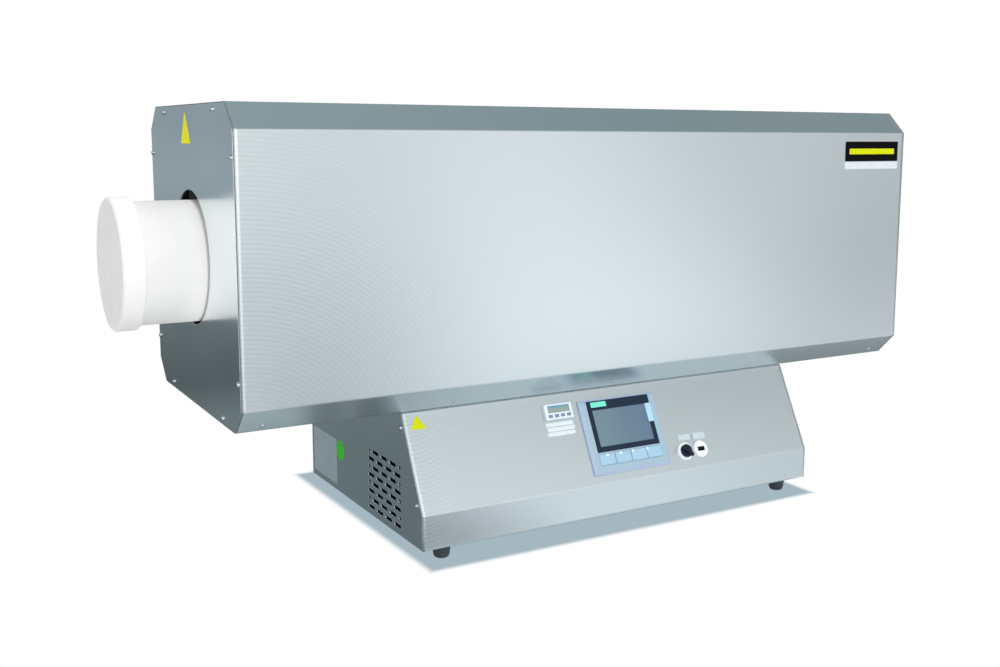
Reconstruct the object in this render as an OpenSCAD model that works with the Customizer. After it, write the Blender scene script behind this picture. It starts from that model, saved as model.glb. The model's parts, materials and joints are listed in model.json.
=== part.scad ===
// Bench-top horizontal tube furnace: a chamfered sheet steel housing with a ceramic
// working tube, carried by a sloped switchgear base with its operating panel.
// Millimetres. X runs along the tube, the front faces -Y, and Z = 0 is the floor.

/* [Furnace housing] */
// Length of the furnace housing
body_l = 1170; // [1120:5:1400]
// Depth of the furnace housing, front to back
body_d = 436; // [420:2:520]
// Height of the furnace housing
body_h = 422; // [412:2:500]
// Leg of the 45 degree chamfers along the housing
body_chamfer = 34; // [28:1:40]
// Thickness of all sheet metal
sheet_t = 1.5; // [1:0.1:2]
// Outer bend radius of all folds
bend_r = 3; // [2.5:0.5:4]
// Number of flats that make one bend
bend_steps = 4; // [2:1:8]
// Width of the return flanges at the ends of the cover
cover_flange_w = 22; // [18:1:26]
// Distance that the end panels stay inside the cover's outline
end_panel_inset = 1.5; // [0.5:0.5:3]
// Radius of the tube opening in the end panels
end_hole_r = 94; // [92:1:100]
// Width of the seam between neighbouring outer panels
seam = 0.6; // [0.3:0.1:1]

/* [Insulation and heating] */
// Air gap between the cover and the inner casing
air_gap = 30; // [27:1:34]
// Air space between an end panel and the inner casing
end_air_gap = 45; // [30:1:60]
// Thickness of the fibre rings that close the heated chamber
vestibule_t = 40; // [30:1:60]
// Width of the casing's end returns that hold the fibre rings
casing_return_w = 25; // [15:1:40]
// Radius of the bore that carries the working tube
channel_r = 90; // [87:1:92]
// Radius of the heated chamber
chamber_r = 112; // [104:1:120]
// Radius of the heating wire
wire_r = 2.5; // [1.5:0.5:3]
// Straight runs of wire round the chamber, an even number
wire_runs = 24; // [12:2:28]
// Number of heated zones
zones = 3; // [1:1:3]
// Gap between neighbouring heated zones
zone_gap = 16; // [10:1:30]
// Clearance between the wire and the fibre behind it
wire_clear = 0.3; // [0.2:0.1:1]
// Width of the casing's joining flanges
casing_flange_w = 12; // [8:1:16]
// Gap between a thermocouple's tip and the working tube
thermocouple_gap = 6; // [3:0.5:15]
// Radius of a thermocouple's sheath
sheath_r = 3; // [2:0.5:4]
// Radius of a thermocouple's head
head_r = 9; // [7:0.5:12]
// Height of a thermocouple's head
head_h = 16; // [10:1:20]
// Length of a crimp sleeve on the heating wire
sleeve_l = 4; // [3:0.5:8]
// Side of the ceramic blocks in which the heating wires end
terminal_side = 18; // [16:1:20]

/* [Working tube and plugs] */
// Outer radius of the working tube
tube_r = 85; // [80:1:86]
// Wall thickness of the working tube
tube_wall = 10; // [5:1:14]
// Length of the working tube
tube_l = 1330; // [1300:5:1600]
// Thickness of a plug's flange
plug_flange_t = 30; // [20:1:40]
// Distance that a plug's flange stands out past the tube
plug_lip = 6; // [3:1:8]
// Length of a plug's spigot inside the tube
plug_spigot_l = 60; // [40:1:75]
// Edge rounding of the plugs
plug_edge = 2.5; // [1:0.5:5]
// Clearance between pieces that move apart
part_gap = 0.3; // [0.2:0.05:0.5]

/* [Base] */
// Length of the base
base_l = 700; // [640:5:900]
// Height of the base without its feet
base_h = 182; // [170:1:220]
// Height of the upright strip under the sloped front
strip_h = 50; // [40:1:60]
// Horizontal run of the sloped front
slope_run = 67; // [50:1:80]
// Distance that the base stands out in front of the housing
base_overhang = 31; // [20:1:45]
// Distance that the base stays inside the housing at the back
base_back_inset = 35; // [30:1:60]
// Width of the base's bottom flanges
foot_flange_w = 44; // [42:1:60]
// Width of the base's top flanges
top_flange_w = 22; // [18:1:30]
// Width of the front panel's side returns
side_return_w = 25; // [22:1:30]
// Height of a foot
foot_h = 20; // [12:1:30]
// Radius of a foot
foot_r = 13; // [10:0.5:16]
// Distance of the feet from the ends of the base
foot_inset_x = 39; // [32:1:60]
// Distance of the feet from the front and back of the base
foot_inset_y = 24; // [22:1:26]
// Rows of vent slots in a side panel
vent_rows = 8; // [4:1:8]
// Vent slots in a full row
vent_cols = 4; // [2:1:4]
// Distance between rows of vent slots
vent_row_pitch = 12.3; // [11:0.1:14]
// Distance between slots in a row
vent_col_pitch = 31.5; // [28:0.5:34]
// Length of a vent slot
vent_slot_l = 23; // [12:0.5:25]
// Height of a vent slot
vent_slot_h = 5.6; // [3:0.1:8]

/* [Screws] */
// Radius of a dome screw's head
screw_head_r = 4; // [3:0.1:5]
// Height of a dome screw's head
screw_head_h = 3; // [1.5:0.1:4]
// Radius of a screw's shank
screw_r = 2; // [1.5:0.1:2.5]
// Length of a screw's shank
screw_l = 9; // [6:0.5:12]
// Clearance round a shank in its holes
screw_clear = 0.2; // [0.1:0.05:0.4]
// Distance of the end screws from the edge of the end panel
screw_margin = 9; // [7:0.5:12]
// Sideways place of the upper and lower end screws
end_screw_y = 132; // [100:1:140]
// Height of the side screws above and below mid-height
end_screw_z = 142; // [100:1:150]
// Distance of the outermost chamfer screws from the ends of the housing
chamfer_screw_end = 35; // [30:1:80]
// Height of the chamfer screws above the housing's underside
chamfer_screw_z = 8; // [7:0.5:12]
// Distance of the base's side screws from the sloped face
side_screw_in = 13.5; // [11:0.5:16]
// Distance of the base's side screws from the ends of the slope
side_screw_end = 18; // [14:0.5:24]

/* [Operating panel] */
// Width of the operating panel
hmi_w = 140; // [130:1:150]
// Height of the operating panel
hmi_h = 116; // [110:1:120]
// Sideways place of the operating panel
hmi_x = 4; // [-10:1:10]
// Place of the operating panel's centre up the slope
hmi_up = 71; // [68:0.5:74]
// Thickness of the operating panel's bezel
hmi_t = 5; // [5:0.5:8]
// Width of the bezel's sloping rim
hmi_rim_w = 5; // [2:0.5:5]
// Height of the bezel's sloping rim
hmi_rim_h = 3; // [1:0.5:3.5]
// Depth of the operating panel's housing behind the front sheet
hmi_depth = 33; // [25:1:45]
// Width of the dark glass frame
hmi_frame_w = 114.5; // [110:0.5:116]
// Height of the dark glass frame
hmi_frame_h = 79; // [74:0.5:80]
// Thickness of the dark glass frame
hmi_frame_t = 1.4; // [1:0.1:2]
// Place of the glass frame's centre above the bezel's centre
hmi_frame_up = 15.2; // [14:0.1:16]
// Width of the display
display_w = 99; // [90:0.5:100]
// Height of the display
display_h = 56.6; // [50:0.2:58]
// Place of the display's centre above the bezel's centre
display_up = 12; // [11:0.1:13]
// Function keys under the display
hmi_keys = 4; // [4:1:4]
// Distance between the function keys
hmi_key_pitch = 29; // [28:0.5:30]
// Width of a function key
hmi_key_w = 27.4; // [22:0.2:27.4]
// Height of a function key
hmi_key_h = 17; // [14:0.5:18]
// Place of the function keys below the bezel's centre
hmi_key_down = 35.8; // [35:0.1:37]
// Travel of a function key
hmi_key_travel = 0.6; // [0.3:0.1:0.8]

/* [Temperature limiter] */
// Width of the limiter's front
limiter_w = 48; // [46:0.5:50]
// Height of the limiter's front
limiter_h = 24; // [23:0.5:26]
// Sideways place of the limiter
limiter_x = -103; // [-120:1:-100]
// Place of the limiter's centre up the slope
limiter_up = 118; // [112:0.5:120]
// Thickness of the limiter's front
limiter_t = 6; // [6:0.5:8]
// Depth of the limiter's housing behind the front sheet
limiter_depth = 60; // [40:1:70]
// Width of the limiter's display
limiter_lcd_w = 38; // [30:0.5:40]
// Height of the limiter's display
limiter_lcd_h = 11; // [9:0.5:12]
// Distance between the limiter's keys
limiter_key_pitch = 10.5; // [9:0.1:11]
// Width of a limiter key
limiter_key_w = 6.5; // [5:0.1:7.5]
// Height of a limiter key
limiter_key_h = 4; // [3.2:0.1:4.6]
// Travel of a limiter key
limiter_key_travel = 0.8; // [0.4:0.1:1]

/* [Switch and socket] */
// Sideways place of the main switch
switch_x = 107; // [104:0.5:112]
// Place of the main switch and the socket up the slope
controls_up = 28; // [26:0.5:34]
// Radius of the switch's collar
collar_r = 14; // [12:0.5:15]
// Thickness of the switch's collar
collar_t = 4; // [3:0.5:6]
// Radius of the switch knob
knob_r = 10; // [9:0.5:11.5]
// Height of the switch knob
knob_h = 8; // [6:0.5:14]
// Reach of the knob's pointer from its axis
knob_reach = 13.5; // [12:0.5:18]
// Width of the pointer's blunt tip
knob_tip_w = 5; // [3:0.5:6.5]
// Height of the pointer's tip, and of the knob's round skirt
knob_tip_h = 3; // [2:0.5:5]
// Angle at which the pointer stands, from the slope's cross axis
knob_angle = -36; // [-60:1:-20]
// Sideways place of the service socket
socket_x = 138; // [136:0.5:144]
// Radius of the socket's collar
socket_r = 13.3; // [12:0.1:14]
// Thickness of the socket's collar
socket_t = 3; // [2:0.5:5]
// Width of the socket's port
port_w = 13.6; // [12:0.2:14]
// Height of the socket's port
port_h = 6.8; // [6:0.2:8]

/* [Switchgear] */
// Height of the mounting rail
rail_h = 7.5; // [7.5:0.5:15]
// Width of the mounting rail
rail_w = 35; // [30:1:40]
// Length of the mounting rail
rail_l = 520; // [510:5:560]
// Distance of the fan's axis from the right end of the base
fan_in = 140; // [120:1:160]
// Width, depth and height of the controller module
controller = [100, 80, 90]; // [20:1:120]
// Width, depth and height of the power supply
supply = [58, 90, 100]; // [20:1:120]
// Width, depth and height of the contactor
contactor_size = [45, 75, 82]; // [20:1:120]
// Width, depth and height of the relay's heat sink
sink = [90, 100, 44]; // [20:1:120]
// Width, depth and height of the solid-state relay
relay = [45, 58, 28]; // [20:1:120]
// Width of one terminal on the rail
terminal_pitch = 8; // [6:0.5:10]
// Distance between neighbouring modules on the rail
module_gap = 8; // [4:1:20]
// Side of the fan's square frame
fan_side = 80; // [76:1:84]
// Thickness of the fan
fan_t = 25; // [22:1:30]
// Blades of the fan
fan_blades = 7; // [5:1:9]
// Thickness of the fan's wall round its blades
fan_wall = 2.5; // [2:0.5:4]
// Distance of the mounting rail behind the furnace's axis
rail_y_offset = 45; // [20:5:60]
// Radius of the cable hole through the gland
cable_r = 6; // [4:0.5:8]
// Distance of the cable gland from the left end of the base
gland_in_x = 110; // [70:5:150]
// Height of the cable gland above the base's underside
gland_up = 55; // [40:1:80]
// Radius of the wiring hole between base and housing
grommet_r = 18; // [12:1:24]

/* [Hidden] */
$fn = 64;

// Places that follow from the sizes above
base_z = foot_h;
body_z = base_z + base_h;
mid_z = body_z + body_h / 2;
slope_rise = base_h - strip_h - sheet_t;
slope_tilt = atan(slope_run / slope_rise);
slope_l = sqrt(slope_run * slope_run + slope_rise * slope_rise);
grip_w = 7;
// How far a point of the knob stands out in front of the base, from its height on the
// collar and its place up the slope from the knob's axis
function knob_out(height, up) = (collar_t + part_gap + height) * cos(slope_tilt)
    - (controls_up + up) * sin(slope_tilt);
knob_front = max(knob_out(knob_h, -grip_w / 2 * cos(knob_angle)),
    knob_out(knob_tip_h, knob_reach * sin(knob_angle) - knob_tip_w / 2 * cos(knob_angle)));
// The origin is midway between the foremost edge and the housing's back
axis_y = (base_overhang + max(knob_front, 0)) / 2;
body_front_y = axis_y - body_d / 2;
base_front_y = body_front_y - base_overhang;
base_back_y = axis_y + body_d / 2 - base_back_inset;
base_top_z = body_z - sheet_t;
slope_top_y = base_front_y + slope_run;
fold_z = base_z + strip_h;
cover_end = body_l / 2 - sheet_t;
casing_y = body_d / 2 - air_gap;
casing_z = body_h / 2 - air_gap;
casing_end = body_l / 2 - sheet_t - end_air_gap;
fibre_end = casing_end - sheet_t;
chamber_end = fibre_end - vestibule_t;
tube_z = channel_r - tube_r - part_gap;
tube_bore_r = tube_r - tube_wall;
tip_z = tube_r - tube_z + thermocouple_gap;
screw_hole_r = screw_r + screw_clear;
sleeve_r = wire_r + 0.6;
wire_ring_r = chamber_r - wire_clear - sleeve_r;
wire_step = 360 / wire_runs;
wire_bend_r = wire_ring_r * sin(wire_step / 2);
zone_pitch = (2 * chamber_end + zone_gap) / zones;
zone_l = zone_pitch - zone_gap;
pan_z = base_z + sheet_t;
pan_top_z = pan_z + sheet_t;
rail_y = axis_y + rail_y_offset;
rail_z = pan_top_z + rail_h;
fan_bore_r = fan_side / 2 - fan_wall;
port_depth = 9;

// Colours
stainless = [0.78, 0.82, 0.84];
steel = [0.55, 0.6, 0.62];
fibre = [0.95, 0.94, 0.91];
ceramic = [0.93, 0.92, 0.88];
rubber_black = [0.1, 0.1, 0.11];
plastic_white = [0.92, 0.94, 0.96];
plastic_black = [0.08, 0.08, 0.09];
plastic_lilac = [0.78, 0.83, 0.9];
plastic_grey = [0.45, 0.47, 0.5];
navy = [0.12, 0.16, 0.22];
key_blue = [0.62, 0.78, 0.9];

// ---- Folded sheets --------------------------------------------------------------

function unit(v) = v / norm(v);
function left_of(a, b) = let (d = unit(b - a)) [-d[1], d[0]];
function reversed(list) = [for (i = [len(list) - 1 : -1 : 0]) list[i]];

// The points of one bend at p, between the flats that come from a and go to b
function bend(a, p, b, r) =
    let (to_a = unit(a - p), to_b = unit(b - p), reach = r / tan(acos(to_a * to_b) / 2))
    [for (i = [0 : bend_steps]) let (s = i / bend_steps)
        p + (1 - s) * (1 - s) * reach * to_a + s * s * reach * to_b];
function bent(path, r) = [path[0],
    for (i = [1 : len(path) - 2]) each bend(path[i - 1], path[i], path[i + 1], r),
    path[len(path) - 1]];

// The same path moved to its left by t, mitred at its corners
function shifted(path, t) = let (last = len(path) - 1) [for (i = [0 : last])
    let (before = left_of(path[max(i - 1, 0)], path[max(i, 1)]),
         after = left_of(path[min(i, last - 1)], path[min(i + 1, last)]))
    path[i] + t * (before + after) / (1 + before * after)];
function strip(path, t) = concat(path, reversed(shifted(path, t)));

module along_x(x0, x1) {
    translate([x0, 0, 0]) rotate([90, 0, 90]) linear_extrude(x1 - x0) children();
}
// A sheet folded along the path, which its outer face follows
module folded(path, x0, x1, r = bend_r, t = sheet_t) {
    along_x(x0, x1) polygon(strip(bent(path, r), t));
}
module at_both_ends() {
    children();
    mirror([1, 0, 0]) children();
}
module in_housing() {
    translate([0, axis_y, mid_z]) children();
}

// A dome screw whose head stands on the plane z = 0
module dome_screw(head_r = screw_head_r, head_h = screw_head_h, shank_l = screw_l) {
    dome_r = (head_r * head_r + head_h * head_h) / (2 * head_h);
    intersection() {
        translate([0, 0, head_h - dome_r]) sphere(dome_r);
        cylinder(r = head_r + 1, h = head_h + 1);
    }
    translate([0, 0, -shank_l]) cylinder(r = screw_r, h = shank_l + head_h / 4);
}

// ---- Furnace housing ------------------------------------------------------------

// Octagon round the housing's axis, open along its underside
function octagon(inset) =
    let (y = body_d / 2 - inset, z = body_h / 2 - inset,
         leg = body_chamfer - inset * (2 - sqrt(2)))
    [[y - leg, -z], [y, leg - z], [y, z - leg], [y - leg, z],
     [leg - y, z], [-y, z - leg], [-y, leg - z], [leg - y, -z]];

end_screw_places = [for (s = [-1, 1], t = [-1, 1]) each
    [[s * end_screw_y, t * (body_h / 2 - screw_margin)],
     [s * (body_d / 2 - screw_margin), t * end_screw_z]]];

module at_end_screws() {
    for (place = end_screw_places)
        translate([-body_l / 2, place[0], place[1]]) rotate([0, -90, 0]) children();
}
// The screws along the lower chamfers, front and back, with the heads outwards
module at_chamfer_screws() {
    pitch = (body_l / 2 - chamfer_screw_end) / 2;
    for (i = [-2 : 2], side = [-1, 1])
        translate([i * pitch,
                   side * (body_d / 2 - body_chamfer + chamfer_screw_z),
                   chamfer_screw_z - body_h / 2])
            rotate([side * -135, 0, 0]) children();
}

module housing_cover() {
    color(stainless) in_housing() difference() {
        union() {
            folded(octagon(0), -cover_end, cover_end);
            at_both_ends() along_x(-cover_end, sheet_t - cover_end)
                polygon(strip(octagon(sheet_t / 2), cover_flange_w - sheet_t / 2));
        }
        at_both_ends() at_end_screws()
            translate([0, 0, -screw_l]) cylinder(r = screw_hole_r, h = screw_l);
        at_chamfer_screws() translate([0, 0, -screw_l])
            cylinder(r = screw_hole_r, h = screw_l + 1);
    }
}

// Underside of the housing, folded up behind the cover's lower chamfers
module housing_bottom_pan() {
    flat_y = body_d / 2 - body_chamfer - sheet_t * sqrt(2);
    rise = body_chamfer / 2;
    end_flange_y = flat_y - cover_flange_w;
    bottom = -body_h / 2;
    color(stainless) in_housing() difference() {
        union() {
            folded([[-flat_y - rise, bottom + rise], [-flat_y, bottom],
                    [flat_y, bottom], [flat_y + rise, bottom + rise]],
                   sheet_t - cover_end, cover_end - sheet_t);
            at_both_ends() translate([-cover_end, -end_flange_y, bottom]) {
                cube([sheet_t, 2 * end_flange_y, cover_flange_w]);
                cube([2 * sheet_t, 2 * end_flange_y, sheet_t]);
            }
        }
        at_both_ends() at_end_screws()
            translate([0, 0, -screw_l]) cylinder(r = screw_hole_r, h = screw_l);
        at_chamfer_screws() translate([0, 0, -screw_l])
            cylinder(r = screw_hole_r, h = screw_l + 1);
        translate([0, 0, bottom - 1]) cylinder(r = grommet_r, h = sheet_t + 2);
    }
}

module end_panel() {
    in_housing() difference() {
        along_x(-body_l / 2, sheet_t - body_l / 2) difference() {
            polygon(octagon(end_panel_inset));
            circle(end_hole_r);
        }
        at_end_screws() translate([0, 0, -sheet_t - 1])
            cylinder(r = screw_hole_r, h = sheet_t + 2);
    }
}
module end_panel_left() { color(steel) end_panel(); }
module end_panel_right() { color(steel) mirror([1, 0, 0]) end_panel(); }

module end_panel_screws() {
    color(stainless) at_both_ends() in_housing() at_end_screws() dome_screw();
}
module cover_screws() {
    color(stainless) in_housing() at_chamfer_screws()
        dome_screw(head_r = screw_head_r * 0.8, head_h = screw_head_h * 0.8);
}

// ---- Inner casing, insulation and heating ---------------------------------------

// Places of the wire's straight runs round the chamber, from the back upwards
function run_angle(run) = (run + 0.5) * wire_step;
function zone_x(zone) = (zone - (zones - 1) / 2) * zone_pitch;
lead_hole_r = 2.4 * wire_r;
lead_r = wire_r - 0.3;
join_gap = 0.5;
run_l = zone_l / 2 - wire_bend_r - wire_r - 3 * join_gap;
lead_x = -run_l - lead_r - join_gap;
bend_ring_r = wire_ring_r * cos(wire_step / 2);

// Each zone has one lead above the mid-plane and one below it, side = 1 and -1
module at_lead(zone, side) {
    translate([zone_x(zone) + lead_x, 0, side * wire_ring_r * sin(wire_step / 2)])
        rotate([-90, 0, 0]) children();
}
module at_leads(side) {
    for (zone = [0 : zones - 1]) at_lead(zone, side) children();
}
module at_thermocouples() {
    for (x = [for (zone = [0 : zones - 1]) zone_x(zone), zone_x(0) + zone_l / 4])
        translate([x, 0, casing_z]) children();
}

// A trough under the chamber's mid-plane, with joining flanges and end returns
module casing_trough() {
    folded([[-casing_y - casing_flange_w, -sheet_t], [-casing_y, -sheet_t],
            [-casing_y, -casing_z], [casing_y, -casing_z],
            [casing_y, -sheet_t], [casing_y + casing_flange_w, -sheet_t]],
           -casing_end, casing_end);
    mid_y = casing_y - sheet_t / 2;
    mid_down = casing_z - sheet_t / 2;
    at_both_ends() along_x(-casing_end, sheet_t - casing_end)
        polygon(strip([[-mid_y, 0], [-mid_y, -mid_down], [mid_y, -mid_down], [mid_y, 0]],
                      casing_return_w));
}
module inner_casing_lower() {
    color(steel) in_housing() difference() {
        casing_trough();
        at_leads(-1) cylinder(r = lead_hole_r, h = casing_y + 1);
    }
}
module inner_casing_upper() {
    color(steel) in_housing() difference() {
        mirror([0, 0, 1]) casing_trough();
        at_leads(1) cylinder(r = lead_hole_r, h = casing_y + 1);
        at_thermocouples() translate([0, 0, -casing_z / 2])
            cylinder(r = sheath_r + part_gap, h = casing_z);
    }
}

// Top-hat rails that carry the casing on the bottom pan
module casing_supports() {
    foot = sheet_t - body_h / 2;
    top = -casing_z - sheet_t;
    half_w = 20;
    brim = 14;
    support_x = casing_end * 0.7;
    support_l = 50;
    color(steel) in_housing() for (x = [-support_x, support_x], side = [-1, 1])
        translate([0, side * casing_y * 0.6, 0])
            folded([[-half_w - brim, foot], [-half_w, foot], [-half_w, top],
                    [half_w, top], [half_w, foot], [half_w + brim, foot]],
                   x - support_l / 2, x + support_l / 2);
}

// Section of the fibre inside the casing, with edges that clear the casing's bends
fibre_edge = 2;
module fibre_section() {
    y = casing_y - sheet_t;
    z = casing_z - sheet_t;
    polygon([[y - fibre_edge, -z], [y, fibre_edge - z], [y, z - fibre_edge],
             [y - fibre_edge, z], [fibre_edge - y, z], [-y, z - fibre_edge],
             [-y, fibre_edge - z], [fibre_edge - y, -z]]);
}

// Half of the fibre block round the chamber, above (side = 1) or below (side = -1)
module insulation_half(side) {
    difference() {
        along_x(-chamber_end, chamber_end) intersection() {
            fibre_section();
            translate([0, side * casing_z / 2])
                square([2 * casing_y, casing_z], center = true);
        }
        translate([-chamber_end - 1, 0, 0]) rotate([0, 90, 0])
            cylinder(r = chamber_r, h = 2 * chamber_end + 2);
        at_leads(side) cylinder(r = lead_hole_r, h = casing_y + 1);
        if (side > 0) at_thermocouples() translate([0, 0, -casing_z / 2])
            cylinder(r = sheath_r + part_gap, h = casing_z);
    }
}
module insulation_lower() { color(fibre) in_housing() insulation_half(-1); }
module insulation_upper() { color(fibre) in_housing() insulation_half(1); }

// Fibre ring at the end of the chamber, whose bore carries the working tube
module vestibule() {
    in_housing() along_x(-fibre_end, -chamber_end) difference() {
        fibre_section();
        circle(channel_r);
    }
}
module vestibule_left() { color(fibre) vestibule(); }
module vestibule_right() { color(fibre) mirror([1, 0, 0]) vestibule(); }

// Half ring between two neighbouring runs, with a crimp sleeve at each end
module wire_bend() {
    translate([join_gap, 0, 0]) rotate([90, 0, 0]) rotate([0, 0, -90])
        rotate_extrude(angle = 180) translate([wire_bend_r, 0]) circle(wire_r, $fn = 32);
    for (side = [-1, 1]) translate([-sleeve_l / 2, 0, side * wire_bend_r])
        rotate([0, 90, 0]) cylinder(r = sleeve_r, h = sleeve_l, $fn = 32);
}
// One zone of heating wire: straight runs round the chamber, joined by half rings
module heating_zone(zone) {
    color("dimgray") in_housing() {
        translate([zone_x(zone), 0, 0]) {
            for (run = [0 : wire_runs - 1]) rotate([run_angle(run), 0, 0])
                translate([-run_l, wire_ring_r, 0]) rotate([0, 90, 0])
                    cylinder(r = wire_r, h = 2 * run_l, $fn = 32);
            for (run = [0 : wire_runs - 2]) rotate([(run + 1) * wire_step, 0, 0])
                if (run % 2 == 0) translate([run_l + join_gap, bend_ring_r, 0]) wire_bend();
                else mirror([1, 0, 0])
                    translate([run_l + join_gap, bend_ring_r, 0]) wire_bend();
        }
        for (side = [-1, 1]) at_lead(zone, side) translate([0, 0, bend_ring_r]) {
            cylinder(r = lead_r, h = lead_end - bend_ring_r, $fn = 32);
            translate([-sleeve_r, 0, 0]) rotate([0, 90, 0])
                cylinder(r = sleeve_r, h = sleeve_r + lead_r + 4, $fn = 32);
        }
    }
}
lead_end = casing_y + 12;
module heating_zone_left() { heating_zone(0); }
module heating_zone_centre() { heating_zone(1); }
module heating_zone_right() { heating_zone(2); }

// Sheathed thermocouples, one for each zone and one for the limiter
module thermocouples() {
    color(ceramic) in_housing() at_thermocouples() {
        cylinder(r = head_r, h = head_h);
        translate([0, 0, tip_z - casing_z]) cylinder(r = sheath_r, h = casing_z - tip_z + 1);
    }
}

// Ceramic blocks in which the heating wires end, above and below the casing's flange
module heater_terminals() {
    block = [1.2 * terminal_side, terminal_side, terminal_side];
    color(ceramic) in_housing() for (side = [-1, 1])
        at_leads(side) difference() {
            translate([-block[0] / 2, -block[1] / 2, casing_y]) cube(block);
            cylinder(r = wire_r + part_gap, h = lead_end + part_gap);
        }
}

// ---- Working tube and plugs -----------------------------------------------------

module on_tube_axis() {
    translate([0, axis_y, mid_z - tube_z]) children();
}
module working_tube() {
    color(ceramic) on_tube_axis() along_x(-tube_l / 2, tube_l / 2) difference() {
        circle(tube_r);
        circle(tube_bore_r);
    }
}
// Fibre plug: a flange past the tube's end and a spigot inside it
module plug() {
    flange_r = tube_r + plug_lip;
    spigot_r = tube_bore_r - part_gap;
    on_tube_axis() translate([-tube_l / 2 - part_gap, 0, 0]) rotate([0, -90, 0])
        rotate_extrude($fn = 96) polygon([
            [0, -plug_spigot_l], [spigot_r - plug_edge, -plug_spigot_l],
            [spigot_r, plug_edge - plug_spigot_l], [spigot_r, 0],
            [flange_r - plug_edge, 0], [flange_r, plug_edge],
            [flange_r, plug_flange_t - plug_edge], [flange_r - plug_edge, plug_flange_t],
            [0, plug_flange_t]]);
}
module plug_left() { color(fibre) plug(); }
module plug_right() { color(fibre) mirror([1, 0, 0]) plug(); }

// ---- Base -----------------------------------------------------------------------

front_line = [[slope_top_y, base_top_z], [base_front_y, fold_z], [base_front_y, base_z]];

// A place on the sloped front: x across, up from the lower fold, z out of the slope
module on_slope(x, up) {
    translate([x, base_front_y, fold_z]) rotate([90 - slope_tilt, 0, 0])
        translate([0, up, 0]) children();
}
module at_feet() {
    for (x = [-1, 1] * (base_l / 2 - foot_inset_x),
         y = [base_front_y + foot_inset_y, base_back_y - foot_inset_y])
        translate([x, y, 0]) children();
}
module foot_holes() {
    at_feet() translate([0, 0, base_z - 1]) cylinder(r = bolt_r + screw_clear, h = 4 * sheet_t);
}
bolt_r = 3;
module panel_hole(x, up, size) {
    on_slope(x, up) translate([0, 0, -sheet_t / 2])
        cube([size[0], size[1], 4 * sheet_t], center = true);
}
// The screws that hold a side panel to the front panel's return
module at_side_screws() {
    for (up = [side_screw_end, slope_l - side_screw_end])
        translate([-base_l / 2, 0, 0])
            on_slope(0, up) translate([0, 0, -side_screw_in]) rotate([0, -90, 0]) children();
}
hmi_lap = 8;
hmi_hole = [hmi_w - 2 * hmi_lap, hmi_h - 2 * hmi_lap];
limiter_hole = [limiter_w - 3, limiter_h - 2];
switch_neck_r = collar_r - 3;
socket_neck_r = socket_r - 3;

module base_front_panel() {
    edge = base_l / 2;
    color(stainless) difference() {
        union() {
            folded(concat([[slope_top_y + top_flange_w, base_top_z]], front_line,
                          [[base_front_y + foot_flange_w, base_z]]), -edge, edge);
            at_both_ends() along_x(sheet_t - edge, 2 * sheet_t - edge)
                polygon(strip(shifted(front_line, sheet_t / 2), side_return_w));
        }
        panel_hole(hmi_x, hmi_up, hmi_hole);
        panel_hole(limiter_x, limiter_up, limiter_hole);
        on_slope(switch_x, controls_up) cylinder(r = switch_neck_r, h = 9, center = true);
        on_slope(socket_x, controls_up) cylinder(r = socket_neck_r, h = 9, center = true);
        foot_holes();
        // The two flanges stop short of the side panels
        at_both_ends() for (place = [[base_front_y, base_z],
                                     [slope_top_y, base_top_z - sheet_t]])
            translate([-edge - 1, place[0] + sheet_t, place[1] - seam])
                cube([sheet_t + part_gap + 1, top_flange_w + foot_flange_w,
                      sheet_t + 2 * seam]);
        at_both_ends() at_side_screws() translate([0, 0, -screw_l])
            cylinder(r = screw_hole_r, h = screw_l);
    }
}

module stadium(l, h) {
    square([l - h, h], center = true);
    for (end = [-1, 1]) translate([end * (l - h) / 2, 0]) circle(h / 2, $fn = 24);
}
vent_y = base_front_y + 132;
vent_z = base_z + 56;

// Staggered rows of slots. Every second row has one slot less and a short slot at
// each end, which ends in line with the full rows
module vent_pattern() {
    short_l = max(vent_slot_l - vent_col_pitch / 2, vent_slot_h + 0.1);
    row_end = (vent_cols - 1) / 2 * vent_col_pitch + vent_slot_l / 2;
    for (row = [0 : vent_rows - 1]) {
        count = vent_cols - row % 2;
        translate([0, (row - (vent_rows - 1) / 2) * vent_row_pitch]) {
            for (i = [0 : count - 1]) translate([(i - (count - 1) / 2) * vent_col_pitch, 0])
                stadium(vent_slot_l, vent_slot_h);
            if (row % 2 == 1) for (end = [-1, 1])
                translate([end * (row_end - short_l / 2), 0]) stadium(short_l, vent_slot_h);
        }
    }
}
module base_side() {
    outer = -base_l / 2;
    flange_w = 20;
    flange_y0 = base_front_y + foot_flange_w + 1;
    front_cut = concat([front_line[0] + 10 * unit(front_line[0] - front_line[1])],
                       [front_line[1]], [[base_front_y, base_z - 1]]);
    difference() {
        union() {
            along_x(outer, outer + sheet_t) difference() {
                polygon(concat(front_line, [[base_back_y, base_z], [base_back_y, base_top_z]]));
                polygon(strip(front_cut, sheet_t + seam));
                translate([vent_y, vent_z]) vent_pattern();
            }
            translate([outer, flange_y0, base_z])
                cube([flange_w, base_back_y - foot_flange_w - 1 - flange_y0, sheet_t]);
            translate([outer, slope_top_y + top_flange_w + 1, base_top_z - sheet_t])
                cube([flange_w, base_back_y - slope_top_y - 2 * top_flange_w - 2, sheet_t]);
        }
        at_side_screws() translate([0, 0, -screw_l]) cylinder(r = screw_hole_r, h = screw_l + 1);
    }
}
module base_side_left() { color(steel) base_side(); }
module base_side_right() { color(steel) mirror([1, 0, 0]) base_side(); }

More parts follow.
